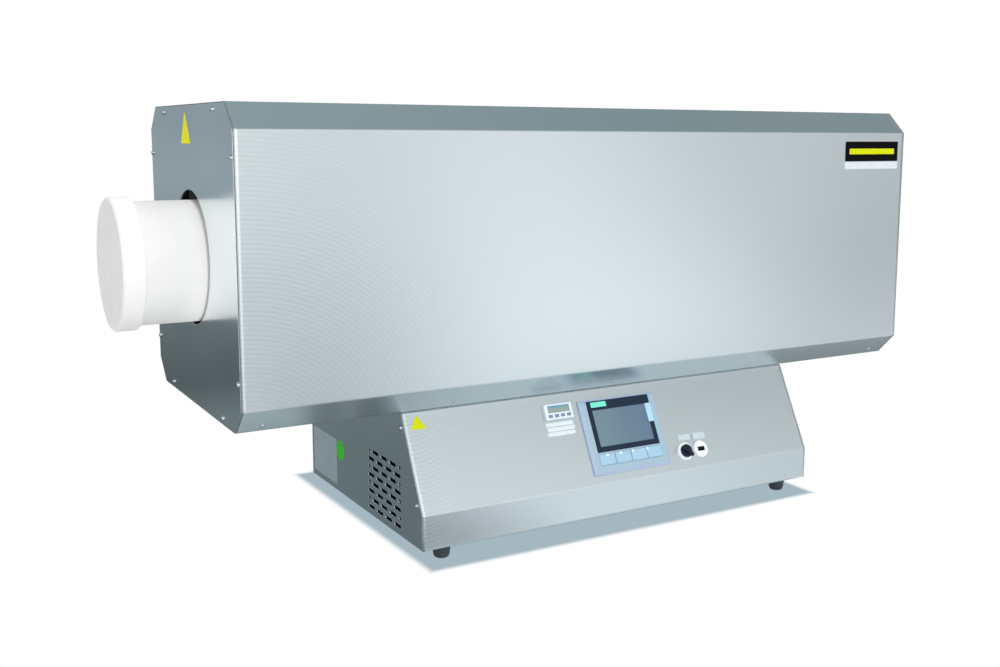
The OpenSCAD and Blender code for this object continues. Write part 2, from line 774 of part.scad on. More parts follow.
module at_fan() {
    translate([base_l / 2 - fan_in, base_back_y - sheet_t, base_z + base_h / 2]) rotate([90, 0, 0])
        children();
}
module at_gland() {
    translate([gland_in_x - base_l / 2, base_back_y, base_z + gland_up]) rotate([-90, 0, 0]) children();
}
module base_rear_panel() {
    half = base_l / 2 - sheet_t - part_gap;
    slot_pitch = 8;
    slots = floor(fan_bore_r / slot_pitch);
    color(steel) difference() {
        folded([[base_back_y - foot_flange_w, base_z], [base_back_y, base_z],
                [base_back_y, base_top_z], [base_back_y - top_flange_w, base_top_z]],
               -half, half);
        at_fan() translate([0, 0, -2 * sheet_t]) linear_extrude(4 * sheet_t)
            for (i = [-slots : slots]) translate([0, i * slot_pitch])
                stadium(2 * sqrt(fan_bore_r * fan_bore_r - pow(i * slot_pitch, 2)) - 2, slot_pitch / 2);
        at_gland() cylinder(r = gland_neck_r, h = 9, center = true);
        foot_holes();
    }
}

module base_pan() {
    half = base_l / 2 - 2 * sheet_t - part_gap;
    front = base_front_y + sheet_t + bend_r;
    color(steel) difference() {
        translate([-half, front, pan_z])
            cube([2 * half, base_back_y - sheet_t - bend_r - front, sheet_t]);
        foot_holes();
    }
}
module base_top_plate() {
    front = slope_top_y + bend_r;
    color(steel) difference() {
        translate([-base_l / 2, front, base_top_z])
            cube([base_l, base_back_y - front, sheet_t]);
        translate([0, axis_y, base_top_z - 1]) cylinder(r = grommet_r, h = sheet_t + 2);
    }
}
module base_screws() {
    color(stainless) at_both_ends() at_side_screws() dome_screw();
}

// Rubber feet, with the bolt's head sunk into the underside
module feet() {
    color(rubber_black) at_feet() difference() {
        rotate_extrude() polygon([[0, 0], [0.7 * foot_r, 0], [0.81 * foot_r, 1.5],
            [0.89 * foot_r, 4], [foot_r, foot_h - 6], [foot_r, foot_h - 0.8],
            [foot_r - 0.8, foot_h], [0, foot_h]]);
        translate([0, 0, -1]) cylinder(r = bolt_r + 3, h = 7);
        cylinder(r = bolt_r + screw_clear, h = foot_h + 1);
    }
}
module foot_bolts() {
    color(steel) at_feet() {
        translate([0, 0, 2]) cylinder(r = bolt_r + 2.6, h = 4);
        translate([0, 0, 5]) cylinder(r = bolt_r, h = pan_top_z + 7 - 5);
        translate([0, 0, pan_top_z]) cylinder(r = bolt_r + 2.6, h = 5, $fn = 6);
    }
}
module cable_grommet() {
    lip = 3;
    color(rubber_black) translate([0, axis_y, 0]) rotate_extrude() polygon([
        [grommet_r - 4, base_top_z - 2], [grommet_r + lip, base_top_z - 2],
        [grommet_r + lip, base_top_z], [grommet_r, base_top_z],
        [grommet_r, body_z + sheet_t], [grommet_r + lip, body_z + sheet_t],
        [grommet_r + lip, body_z + sheet_t + 2], [grommet_r - 4, body_z + sheet_t + 2]]);
}

// ---- Operating panel ------------------------------------------------------------

// A plate whose rim slopes in on all four sides towards the front
module rimmed_plate(w, h, t, rim_w, rim_h) {
    intersection() {
        rotate([90, 0, 0]) linear_extrude(h + 1, center = true)
            polygon([[-w / 2, 0], [w / 2, 0], [w / 2, t - rim_h], [w / 2 - rim_w, t],
                     [rim_w - w / 2, t], [-w / 2, t - rim_h]]);
        rotate([90, 0, 90]) linear_extrude(w + 1, center = true)
            polygon([[-h / 2, 0], [h / 2, 0], [h / 2, t - rim_h], [h / 2 - rim_w, t],
                     [rim_w - h / 2, t], [-h / 2, t - rim_h]]);
    }
}
module block(w, h, z0, z1) {
    translate([-w / 2, -h / 2, z0]) cube([w, h, z1 - z0]);
}
function hmi_key_x(key) = (key - (hmi_keys + 1) / 2) * hmi_key_pitch;
key_proud = 0.8;
hmi_key_t = 2.6;

module hmi_bezel() {
    floor_z = hmi_t - (hmi_key_t - key_proud + hmi_key_travel + part_gap);
    color(plastic_lilac) on_slope(hmi_x, hmi_up) difference() {
        rimmed_plate(hmi_w, hmi_h, hmi_t, hmi_rim_w, hmi_rim_h);
        translate([0, hmi_frame_up, 0])
            block(hmi_frame_w + 0.4, hmi_frame_h + 0.4, hmi_t - hmi_frame_t, hmi_t + 1);
        translate([0, display_up, 0]) block(display_w, display_h, -1, hmi_t + 1);
        for (key = [1 : hmi_keys]) translate([hmi_key_x(key), -hmi_key_down, 0])
            block(hmi_key_w + 2 * part_gap, hmi_key_h + 2 * part_gap, floor_z, hmi_t + 1);
    }
}
module hmi_housing() {
    color(plastic_grey) on_slope(hmi_x, hmi_up) difference() {
        union() {
            block(hmi_hole[0] - 1, hmi_hole[1] - 1, -12, 0);
            block(hmi_hole[0] - 14, hmi_hole[1] - 14, -hmi_depth, -12);
        }
        for (i = [-5 : 5]) translate([i * 9, 0, 0])
            block(4, hmi_hole[1] - 40, -hmi_depth - 1, 2 - hmi_depth);
    }
}
module hmi_frame() {
    color(navy) on_slope(hmi_x, hmi_up) difference() {
        translate([0, hmi_frame_up, 0])
            block(hmi_frame_w, hmi_frame_h, hmi_t - hmi_frame_t, hmi_t + 0.2);
        translate([0, display_up, 0])
            block(display_w, display_h, hmi_t - hmi_frame_t - 1, hmi_t + 1);
    }
}
module hmi_display() {
    color("slategray") on_slope(hmi_x, hmi_up + display_up)
        block(display_w - 0.2, display_h - 0.2, 0, hmi_t - 0.1);
}
module hmi_key(key) {
    color(key_blue) on_slope(hmi_x + hmi_key_x(key), hmi_up - hmi_key_down)
        translate([0, 0, hmi_t + key_proud - hmi_key_t])
            rimmed_plate(hmi_key_w, hmi_key_h, hmi_key_t, 0.5, 0.5);
}
module hmi_key_1() { hmi_key(1); }
module hmi_key_2() { hmi_key(2); }
module hmi_key_3() { hmi_key(3); }
module hmi_key_4() { hmi_key(4); }

// ---- Temperature limiter --------------------------------------------------------

function limiter_key_x(key) = (key - 2.5) * limiter_key_pitch;
limiter_key_t = 3.2;
limiter_key_down = 6.6;
limiter_lcd_up = 3.6;

module limiter_housing() {
    floor_z = limiter_t - (limiter_key_t - key_proud + limiter_key_travel + part_gap);
    color(plastic_white) on_slope(limiter_x, limiter_up) difference() {
        union() {
            rimmed_plate(limiter_w, limiter_h, limiter_t, 1.2, 1.2);
            block(limiter_hole[0] - 0.6, limiter_hole[1] - 0.6, -limiter_depth, 0.1);
        }
        translate([0, limiter_lcd_up, 0])
            block(limiter_lcd_w, limiter_lcd_h, limiter_t - 1.5, limiter_t + 1);
        for (key = [1 : 4]) translate([limiter_key_x(key), -limiter_key_down, 0])
            block(limiter_key_w + 2 * part_gap, limiter_key_h + 2 * part_gap,
                  floor_z, limiter_t + 1);
    }
}
module limiter_display() {
    color("darkseagreen") on_slope(limiter_x, limiter_up + limiter_lcd_up)
        block(limiter_lcd_w - 0.2, limiter_lcd_h - 0.2, limiter_t - 1.5, limiter_t - 0.3);
}
module limiter_key(key) {
    color(plastic_grey) on_slope(limiter_x + limiter_key_x(key), limiter_up - limiter_key_down)
        translate([0, 0, limiter_t + key_proud - limiter_key_t])
            rimmed_plate(limiter_key_w, limiter_key_h, limiter_key_t, 0.5, 0.5);
}
module limiter_key_1() { limiter_key(1); }
module limiter_key_2() { limiter_key(2); }
module limiter_key_3() { limiter_key(3); }
module limiter_key_4() { limiter_key(4); }

// ---- Main switch and service socket ---------------------------------------------

spindle_r = 3;
spindle_clear = 0.06;
module collar(r, neck_r, t, bore) {
    difference() {
        union() {
            rotate_extrude() polygon([[0, 0], [r, 0], [r, t - 1.2], [r - 1.2, t], [0, t]]);
            translate([0, 0, -6]) cylinder(r = neck_r - 0.3, h = 6.5);
        }
        children();
    }
}
module switch_collar() {
    color(plastic_white) on_slope(switch_x, controls_up)
        collar(collar_r, switch_neck_r, collar_t)
            translate([0, 0, -7]) cylinder(r = spindle_r + 1, h = collar_t + 8);
}
// Knob whose grip falls towards the blunt tip of its pointer, and the spindle that it
// turns
module switch_knob() {
    grip_end = 1 - knob_r;
    color(plastic_black) on_slope(switch_x, controls_up) {
        translate([0, 0, collar_t + part_gap]) {
            cylinder(r = knob_r, h = knob_tip_h);
            rotate([0, 0, knob_angle]) intersection() {
                linear_extrude(knob_h)
                    polygon([[grip_end, -grip_w / 2], [knob_reach, -knob_tip_w / 2],
                             [knob_reach, knob_tip_w / 2], [grip_end, grip_w / 2]]);
                rotate([90, 0, 0]) linear_extrude(2 * grip_w, center = true)
                    polygon([[grip_end - 1, -1], [knob_reach + 1, -1],
                             [knob_reach + 1, knob_tip_h], [knob_reach, knob_tip_h],
                             [0, knob_h], [grip_end - 1, knob_h]]);
            }
        }
        translate([0, 0, -16]) cylinder(r = spindle_r, h = collar_t + 17);
    }
}
module switch_body() {
    side = 2 * switch_neck_r + 14;
    color(plastic_grey) on_slope(switch_x, controls_up) difference() {
        union() {
            block(side, side, -sheet_t - 46, -6 - sheet_t);
            translate([0, 0, -6 - sheet_t]) cylinder(r = switch_neck_r - 1, h = sheet_t);
        }
        translate([0, 0, -17]) cylinder(r = spindle_r + spindle_clear, h = 18);
        for (i = [-1 : 1]) translate([i * side / 3, 0, 0])
            block(side / 6, side + 1, -sheet_t - 47, -sheet_t - 38);
    }
}
module socket_collar() {
    color(plastic_white) on_slope(socket_x, controls_up)
        collar(socket_r, socket_neck_r, socket_t)
            block(port_w, port_h, -7, socket_t + 1);
}
// Socket body behind the collar's port, with its contact tongue
module socket_insert() {
    wall = 0.8;
    color(plastic_black) on_slope(socket_x, controls_up) {
        difference() {
            block(port_w - 0.1, port_h - 0.1, -6, socket_t - 0.4);
            block(port_w - 2 * wall, port_h - 2 * wall, socket_t - port_depth, socket_t + 1);
        }
        translate([0, 0.8, 0]) block(port_w - 2 * wall - 1.2, 1.8, -6.5, socket_t - 1.5);
        block(2 * socket_neck_r - 4, 2 * socket_neck_r - 6, -28, -6);
    }
}

// ---- Switchgear inside the base -------------------------------------------------

rail_t = 1;
module mounting_rail() {
    brim = 4;
    color("silver") translate([0, rail_y, 0])
        folded([[-rail_w / 2, rail_z - rail_t], [brim - rail_w / 2, rail_z - rail_t],
                [brim - rail_w / 2, pan_top_z], [rail_w / 2 - brim, pan_top_z],
                [rail_w / 2 - brim, rail_z - rail_t], [rail_w / 2, rail_z - rail_t]],
               -rail_l / 2, rail_l / 2, r = 1.6 * rail_t, t = rail_t);
}
// Module that stands on the rail, stepped in at the top, with terminals and vents
module rail_module(x, size) {
    w = size[0];
    depth = size[1];
    h = size[2];
    step_h = h * 0.55;
    step_in = depth / 5;
    pitch = 7;
    translate([x, rail_y, rail_z]) difference() {
        along_x(0, w) polygon([[-depth / 2, 0], [depth / 2, 0], [depth / 2, step_h],
            [depth / 2 - step_in, step_h], [depth / 2 - step_in - 4, h],
            [step_in + 4 - depth / 2, h], [step_in - depth / 2, step_h],
            [-depth / 2, step_h]]);
        for (i = [1 : floor(w / pitch) - 1], side = [-1, 1])
            translate([i * pitch, side * (depth - step_in) / 2, step_h - 8])
                cylinder(r = 2.2, h = 9);
    }
}
// The modules follow each other from the left: strip, controller, supply, contactor, sink
terminals = 12;
strip_x = module_gap - rail_l / 2;
controller_x = strip_x + terminals * terminal_pitch + module_gap;
supply_x = controller_x + controller[0] + module_gap;
contactor_x = supply_x + supply[0] + module_gap;
sink_x = contactor_x + contactor_size[0] + module_gap + sink[0] / 2;
module controller_module() { color(plastic_grey) rail_module(controller_x, controller); }
module power_supply() { color("silver") rail_module(supply_x, supply); }
module contactor() { color(plastic_grey) rail_module(contactor_x, contactor_size); }

module relay_heat_sink() {
    fins = 9;
    fin_t = 2.4;
    plate_t = 6;
    color("silver") translate([sink_x - sink[0] / 2, rail_y - sink[1] / 2, rail_z]) {
        translate([0, 0, sink[2] - plate_t]) cube([sink[0], sink[1], plate_t]);
        for (i = [0 : fins - 1])
            translate([i * (sink[0] - fin_t) / (fins - 1), 0, 0]) cube([fin_t, sink[1], sink[2]]);
    }
}
module solid_state_relay() {
    color(plastic_black) translate([sink_x, rail_y, rail_z + sink[2]]) difference() {
        block(relay[0], relay[1], 0, relay[2]);
        for (x = [-1, 1], y = [-1, 1])
            translate([x * relay[0] / 4, y * (relay[1] / 2 - 8), relay[2] - 6])
                cylinder(r = 3.5, h = 7);
    }
}
module terminal_strip() {
    pitch = terminal_pitch;
    depth = 44;
    h = 40;
    color(plastic_grey) translate([strip_x, rail_y, rail_z]) difference() {
        along_x(0, terminals * pitch) polygon([[-depth / 2, 0], [depth / 2, 0],
            [depth / 2, h * 0.6], [depth / 4, h], [-depth / 4, h], [-depth / 2, h * 0.6]]);
        for (i = [0 : terminals - 1]) {
            translate([i * pitch, -depth / 2 - 1, h * 0.7]) cube([0.8, depth + 2, h]);
            translate([(i + 0.5) * pitch, 0, h - 8]) cylinder(r = 2.2, h = 9);
        }
    }
}

// ---- Fan and cable gland on the rear panel --------------------------------------

fan_pin_r = 2;
fan_hub_r = 17;
fan_plate_t = 3;
module fan_frame() {
    strut_w = 5;
    color(plastic_black) at_fan() {
        linear_extrude(fan_t) difference() {
            square(fan_side, center = true);
            circle(fan_bore_r);
        }
        translate([0, 0, fan_t - fan_plate_t]) linear_extrude(fan_plate_t) {
            circle(fan_hub_r);
            for (a = [45, 135]) rotate(a)
                square([2 * fan_bore_r + fan_wall, strut_w], center = true);
        }
        translate([0, 0, 4]) cylinder(r = fan_pin_r, h = fan_t - fan_plate_t - 3);
    }
}
module fan_rotor() {
    tip_r = fan_bore_r - 1.5;
    rotor_z = 3;
    rotor_h = fan_t - fan_plate_t - rotor_z - part_gap;
    blade_t = 1.6;
    color(plastic_black) at_fan() difference() {
        union() {
            translate([0, 0, rotor_z]) cylinder(r = fan_hub_r, h = rotor_h);
            intersection() {
                translate([0, 0, rotor_z]) cylinder(r = tip_r, h = rotor_h);
                for (i = [0 : fan_blades - 1]) rotate([0, 0, i * 360 / fan_blades])
                    translate([0, 0, rotor_z + rotor_h / 2]) rotate([40, 0, 0])
                        translate([fan_hub_r - 2, -blade_t / 2, -fan_t])
                            cube([fan_bore_r, blade_t, 2 * fan_t]);
            }
        }
        cylinder(r = fan_pin_r + spindle_clear, h = fan_t);
    }
}
gland_neck_r = cable_r + 4;
gland_out = 22;
gland_in = 10;
module cable_gland() {
    color(plastic_black) at_gland() difference() {
        union() {
            cylinder(r = gland_neck_r + 4, h = 7, $fn = 6);
            translate([0, 0, 6]) cylinder(r = gland_neck_r + 1, h = gland_out - 6);
            translate([0, 0, -gland_in]) cylinder(r = gland_neck_r - 0.3, h = gland_in + 1);
            translate([0, 0, -sheet_t - 5])
                cylinder(r = gland_neck_r + 4, h = 5, $fn = 6);
        }
        translate([0, 0, -gland_in - 1]) cylinder(r = cable_r, h = gland_out + gland_in + 2);
    }
}

housing_cover();
housing_bottom_pan();
end_panel_left();
end_panel_right();
end_panel_screws();
cover_screws();
inner_casing_lower();
inner_casing_upper();
casing_supports();
insulation_lower();
insulation_upper();
vestibule_left();
vestibule_right();
heating_zone_left();
heating_zone_centre();
heating_zone_right();
thermocouples();
heater_terminals();
working_tube();
plug_left();
plug_right();
base_front_panel();
base_side_left();
base_side_right();
base_rear_panel();
base_pan();
base_top_plate();
base_screws();
feet();
foot_bolts();
cable_grommet();
hmi_bezel();
hmi_housing();
hmi_frame();
hmi_display();
hmi_key_1();
hmi_key_2();
hmi_key_3();
hmi_key_4();
limiter_housing();
limiter_display();
limiter_key_1();
limiter_key_2();
limiter_key_3();
limiter_key_4();
switch_collar();
switch_knob();
switch_body();
socket_collar();
socket_insert();
mounting_rail();
controller_module();
power_supply();
contactor();
relay_heat_sink();
solid_state_relay();
terminal_strip();
fan_frame();
fan_rotor();
cable_gland();
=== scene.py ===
import json
import math

import bmesh
import bpy
from mathutils import Matrix, Vector

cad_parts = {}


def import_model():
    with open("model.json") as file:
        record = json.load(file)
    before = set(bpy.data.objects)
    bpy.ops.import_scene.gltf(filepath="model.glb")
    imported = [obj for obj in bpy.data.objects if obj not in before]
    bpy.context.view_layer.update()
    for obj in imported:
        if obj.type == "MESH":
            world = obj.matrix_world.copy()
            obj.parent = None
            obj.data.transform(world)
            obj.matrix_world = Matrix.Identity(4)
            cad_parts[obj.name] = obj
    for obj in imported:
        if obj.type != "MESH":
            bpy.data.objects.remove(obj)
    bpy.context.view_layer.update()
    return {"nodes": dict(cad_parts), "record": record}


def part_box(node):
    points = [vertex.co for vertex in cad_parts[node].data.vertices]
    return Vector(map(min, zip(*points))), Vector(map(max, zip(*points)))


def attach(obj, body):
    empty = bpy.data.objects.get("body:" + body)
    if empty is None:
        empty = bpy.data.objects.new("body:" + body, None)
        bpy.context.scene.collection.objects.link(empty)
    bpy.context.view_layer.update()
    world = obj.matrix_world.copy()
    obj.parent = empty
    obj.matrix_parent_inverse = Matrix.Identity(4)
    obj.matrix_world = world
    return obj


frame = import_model()

# ---- Sizes in the part's own frame ------------------------------------------------
# Outlines and places on the slope are in mm, all other places are in metres.

MM = 0.001
COVER_HALF_L = 583.5
BODY_HALF_D = 218
BODY_HALF_H = 211
BODY_MIDDLE_Z = 413
BASE_HALF_L = 350
CHAMFER = 34
HMI_X = 4
HMI_UP = 71
HMI_T = 5
KEY_PROUD = 0.8
LIMITER_X = -103
LIMITER_UP = 118
LIMITER_FACE = 5.7

AXIS_Y = 15.5 * MM
BODY_FRONT_Y = AXIS_Y - BODY_HALF_D * MM
BODY_LEFT_X = -585 * MM
BASE_LEFT_X = -BASE_HALF_L * MM
BASE_FRONT_Y = BODY_FRONT_Y - 31 * MM
FOLD_Z = 70 * MM
SLOPE_TILT = math.radians(27.1764)


# ---- Node trees -------------------------------------------------------------------

NOISE_LOW, NOISE_HIGH = 0.3, 0.7    # where most of a noise texture's values lie


class Nodes:
    """A node tree and the kinds of node that the materials and the world need."""

    def __init__(self, tree):
        self.tree = tree

    def node(self, kind, **values):
        made = self.tree.nodes.new(kind)
        for key, value in values.items():
            setattr(made, key, value)
        return made

    def link(self, out, into):
        self.tree.links.new(out, into)

    def math(self, operation, first, second=0.0):
        made = self.node("ShaderNodeMath", operation=operation)
        for socket, value in zip(made.inputs, (first, second)):
            if isinstance(value, (int, float)):
                socket.default_value = value
            else:
                self.link(value, socket)
        return made.outputs["Value"]

    def add(self, first, second):
        return self.math("ADD", first, second)

    def subtract(self, first, second):
        return self.math("SUBTRACT", first, second)

    def multiply(self, first, second):
        return self.math("MULTIPLY", first, second)

    def largest(self, first, second):
        return self.math("MAXIMUM", first, second)

    def remap(self, value, start, end, low=0.0, high=1.0, **values):
        """Maps the range from start to end to the range from low to high."""
        made = self.node("ShaderNodeMapRange", **values)
        limits = {"From Min": start, "From Max": end, "To Min": low, "To Max": high}
        for name, limit in limits.items():
            made.inputs[name].default_value = limit
        self.link(value, made.inputs["Value"])
        return made.outputs["Result"]

    def shown_directly(self):
        """1 for rays from the camera, from glossy surfaces and through glass."""
        path = self.node("ShaderNodeLightPath")
        seen = self.largest(path.outputs["Is Camera Ray"], path.outputs["Is Glossy Ray"])
        return self.largest(seen, path.outputs["Is Transmission Ray"])


class Shader(Nodes):
    """A new material, with the textures and the reliefs that the finishes share."""

    def __init__(self, name, roughness=0.5, metallic=0.0, specular=0.5):
        self.material = bpy.data.materials.new(name)
        self.material.use_nodes = True
        super().__init__(self.material.node_tree)
        self.surface = self.tree.nodes["Principled BSDF"]
        self.surface.inputs["Roughness"].default_value = roughness
        self.surface.inputs["Metallic"].default_value = metallic
        self.surface.inputs["Specular IOR Level"].default_value = specular

    def place(self, stretch=(1.0, 1.0, 1.0)):
        """Object coordinates, in metres, times the stretch."""
        coordinate = self.node("ShaderNodeTexCoord")
        mapping = self.node("ShaderNodeMapping")
        mapping.inputs["Scale"].default_value = stretch
        self.link(coordinate.outputs["Object"], mapping.inputs["Vector"])
        return mapping.outputs["Vector"]

    def axes(self, vector):
        """The X, Y and Z of a vector."""
        made = self.node("ShaderNodeSeparateXYZ")
        self.link(vector, made.inputs["Vector"])
        return made.outputs

    def noise(self, scale, stretch=(1.0, 1.0, 1.0), detail=3.0):
        texture = self.node("ShaderNodeTexNoise")
        texture.inputs["Scale"].default_value = scale
        texture.inputs["Detail"].default_value = detail
        self.link(self.place(stretch), texture.inputs["Vector"])
        return texture.outputs["Fac"]

    def ramp(self, factor, stops):
        made = self.node("ShaderNodeValToRGB")
        elements = made.color_ramp.elements
        while len(elements) < len(stops):
            elements.new(0.5)
        for element, (position, color) in zip(elements, stops):
            element.position = position
            element.color = (*color, 1.0)
        self.link(factor, made.inputs["Fac"])
        return made.outputs["Color"]

    def color_by(self, factor, stops):
        self.link(self.ramp(factor, stops), self.surface.inputs["Base Color"])

    def color(self, factor, first, second):
        self.color_by(factor, [(NOISE_LOW, first), (NOISE_HIGH, second)])

    def rough(self, factor, low, high):
        self.link(self.remap(factor, NOISE_LOW, NOISE_HIGH, low, high),
                  self.surface.inputs["Roughness"])

    def relief(self, height, depth, strength=1.0, under=None):
        """Bump of the height over the normals that lie under it."""
        made = self.node("ShaderNodeBump")
        made.inputs["Distance"].default_value = depth
        made.inputs["Strength"].default_value = strength
        self.link(height, made.inputs["Height"])
        if under is not None:
            self.link(under, made.inputs["Normal"])
        self.link(made.outputs["Normal"], self.surface.inputs["Normal"])
        return made.outputs["Normal"]

    def rounded(self, radius):
        """Softens the edges, so that they catch the light."""
        made = self.node("ShaderNodeBevel", samples=6)
        made.inputs["Radius"].default_value = radius
        return made.outputs["Normal"]

    def emission(self, strength=1.0):
        made = self.node("ShaderNodeEmission")
        made.inputs["Strength"].default_value = strength
        return made

    def show(self, surface):
        """Makes a shader's output the whole surface of the material."""
        self.link(surface, self.tree.nodes["Material Output"].inputs["Surface"])


def tones(color, change):
    """A slightly darker and a slightly lighter version of a colour."""
    return ([c * (1 - change) for c in color], [min(c * (1 + change), 1.0) for c in color])


# ---- Stainless sheets with a rolled pattern -----------------------------------------

THREAD_PITCH = 3 * MM
THREAD_SHARE = 0.45
RING_PITCH = 6 * MM
RING_MIDDLE_Z = 150 * MM
PATTERN_AT_END = 0.85
PATTERN_FADE = 1.9      # for each metre from the sheet's left end
PATTERN_LEAST = 0.12
# how much the pattern's painted shade darkens the colour, on flat and on sloping faces
PATTERN_SHADE_ON_FLAT = 0.085
PATTERN_SHADE_LOST_ON_SLOPES = 0.17
PATTERN_SHADE_LEAST = 0.012
PATTERN_DEPTH = 0.03 * MM
END_FOLD = 5 * MM
END_FOLD_DROP = 0.6


def along_the_sheet(shader):
    """Place along and across a sheet that is folded round the X axis, in metres, and
    how much the sheet slopes there: 0 where it is upright or level, at most 0.5."""
    coordinate = shader.node("ShaderNodeTexCoord")
    place = shader.axes(coordinate.outputs["Object"])
    facing = shader.axes(coordinate.outputs["Normal"])
    across = shader.subtract(shader.multiply(place["Z"], facing["Y"]),
                             shader.multiply(place["Y"], facing["Z"]))
    sloping = shader.math("ABSOLUTE", shader.multiply(facing["Y"], facing["Z"]))
    return place["X"], across, sloping


def folded_ends(shader, x, end, under):
    """Turns a sheet's face towards its end in the last few millimetres, as a bend does."""
    past = shader.subtract(shader.math("ABSOLUTE", x), end - END_FOLD)
    share = shader.math("DIVIDE", shader.largest(past, 0.0), END_FOLD)
    drop = shader.multiply(shader.multiply(share, share), -1.0)
    return shader.relief(drop, END_FOLD_DROP * END_FOLD, under=under)


def waves(shader, place, pitch):
    return shader.math("SINE", shader.multiply(place, 2 * math.pi / pitch))


def distance(shader, first, second):
    """How far a place lies from where both of its coordinates are zero."""
    squares = [shader.multiply(part, part) for part in (first, second)]
    return shader.math("SQRT", shader.add(*squares))


def rolled_pattern(shader, x, across, end):
    """Fine threads both ways, crossed by faint rings. The rings' centre is at the sheet's
    left end, and the pattern fades out to the right."""
    threads = shader.add(waves(shader, x, THREAD_PITCH), waves(shader, across, THREAD_PITCH))
    from_end = shader.add(x, end)
    reach = distance(shader, from_end, shader.add(across, RING_MIDDLE_Z))
    pattern = shader.add(shader.multiply(threads, THREAD_SHARE),
                         waves(shader, reach, RING_PITCH))
    # the pattern, with its painted shade, fades out to the right
    fading = shader.subtract(PATTERN_AT_END, shader.multiply(from_end, PATTERN_FADE))
    return shader.multiply(pattern, shader.largest(fading, PATTERN_LEAST))


def textured_stainless(name, end):
    """Stainless sheet with the rolled pattern. The pattern is also painted into the colour,
    darker in its hollows: painted shade of the relief, weaker where the sheet slopes. The
    end is the sheet's half length."""
    shader = Shader(name, roughness=0.34, metallic=1.0)
    x, across, sloping = along_the_sheet(shader)
    pattern = rolled_pattern(shader, x, across, end)
    lost = shader.multiply(sloping, PATTERN_SHADE_LOST_ON_SLOPES)
    depth = shader.largest(shader.subtract(PATTERN_SHADE_ON_FLAT, lost), PATTERN_SHADE_LEAST)
    patches = shader.noise(1.6, stretch=(0.7, 1.0, 1.2), detail=1.0)
    # painted shade: the colour is darker in the pattern's hollows, on top of random patches
    tone = shader.add(patches, shader.multiply(pattern, depth))
    shader.color_by(tone, [(0.0, (0.56, 0.615, 0.635)), (1.0, (0.80, 0.875, 0.90))])
    shader.rough(patches, 0.30, 0.37)
    folds = folded_ends(shader, x, end, shader.rounded(3.2 * MM))
    grain = shader.relief(shader.noise(900, stretch=(0.25, 1.0, 1.0)), 0.03 * MM, 0.5, folds)
    shader.relief(pattern, PATTERN_DEPTH, under=grain)
    return shader.material


# ---- Other finishes -----------------------------------------------------------------

def sheet_steel(name, color, roughness, fold=1.5 * MM):
    """Smooth satin sheet with a faint rolled grain and slow changes of gloss."""
    shader = Shader(name, roughness=roughness, metallic=1.0)
    shader.color(shader.noise(3.2, detail=2.0), *tones(color, 0.05))
    shader.rough(shader.noise(9.0), roughness * 0.88, roughness * 1.14)
    folds = shader.rounded(fold)
    shader.relief(shader.noise(700, stretch=(1.0, 1.0, 0.12)), 0.02 * MM, 0.35, folds)
    return shader.material


def fibre(name, color, pore_size=260):
    """Pressed ceramic fibre: dead matt, cloudy, with shallow pores."""
    shader = Shader(name, roughness=0.95, specular=0.2)
    shader.color(shader.noise(34, detail=4.0), *tones(color, 0.022))
    soft_edge = shader.rounded(0.9 * MM)
    lumps = shader.relief(shader.noise(pore_size, detail=6.0), 0.35 * MM, 0.5, soft_edge)
    shader.relief(shader.noise(55, detail=2.0), 0.6 * MM, 0.25, lumps)
    return shader.material


def unglazed_ceramic():
    """Fired ceramic, smoother than the fibre, with a faint cast skin."""
    shader = Shader("ceramic", roughness=0.72, specular=0.3)
    shader.color(shader.noise(20), (0.84, 0.835, 0.82), (0.88, 0.875, 0.865))
    soft_edge = shader.rounded(0.6 * MM)
    fine = shader.relief(shader.noise(420, detail=4.0), 0.12 * MM, 0.4, soft_edge)
    shader.relief(shader.noise(38, stretch=(0.2, 1.0, 1.0)), 0.35 * MM, 0.2, fine)
    return shader.material


def moulded_grain(shader, edge, grain=1400):
    """The fine spark-eroded grain of a moulding with slightly rounded edges."""
    shader.relief(shader.noise(grain, detail=2.0), 0.02 * MM, 0.5, shader.rounded(edge))


def plastic(name, color, roughness, grain=1400, edge=0.4 * MM, specular=0.5):
    shader = Shader(name, roughness=roughness, specular=specular)
    shader.color(shader.noise(60, detail=2.0), *tones(color, 0.03))
    shader.rough(shader.noise(180), roughness * 0.9, roughness * 1.1)
    moulded_grain(shader, edge, grain)
    return shader.material


def bezel_plastic():
    """Blue-grey moulding, lighter and more violet on its sloping rim than on its face:
    painted light that follows the way the surface faces.
    """
    shader = Shader("panel_bezel", roughness=0.4, specular=0.3)
    coordinate = shader.node("ShaderNodeTexCoord")
    facing = shader.node("ShaderNodeVectorMath", operation="DOT_PRODUCT")
    facing.inputs[1].default_value = (0, -math.cos(SLOPE_TILT), math.sin(SLOPE_TILT))
    shader.link(coordinate.outputs["Normal"], facing.inputs[0])
    # painted light: the rim's tone follows the way the surface faces
    shader.color_by(facing.outputs["Value"], [(0.90, (0.39, 0.49, 0.65)),
                                              (0.98, (0.33, 0.475, 0.56))])
    shader.rough(shader.noise(180), 0.36, 0.44)
    moulded_grain(shader, 0.8 * MM)
    return shader.material


def rubber():
    shader = Shader("foot_rubber", roughness=0.62)
    shader.color(shader.noise(90), (0.028, 0.034, 0.036), (0.055, 0.066, 0.070))
    shader.relief(shader.noise(900), 0.05 * MM, 0.6, shader.rounded(0.6 * MM))
    return shader.material


def oxidised_wire():
    shader = Shader("heating_wire", roughness=0.55, metallic=0.85)
    shader.color(shader.noise(160), (0.07, 0.065, 0.062), (0.16, 0.145, 0.135))
    shader.relief(shader.noise(800), 0.06 * MM, 0.6)
    return shader.material


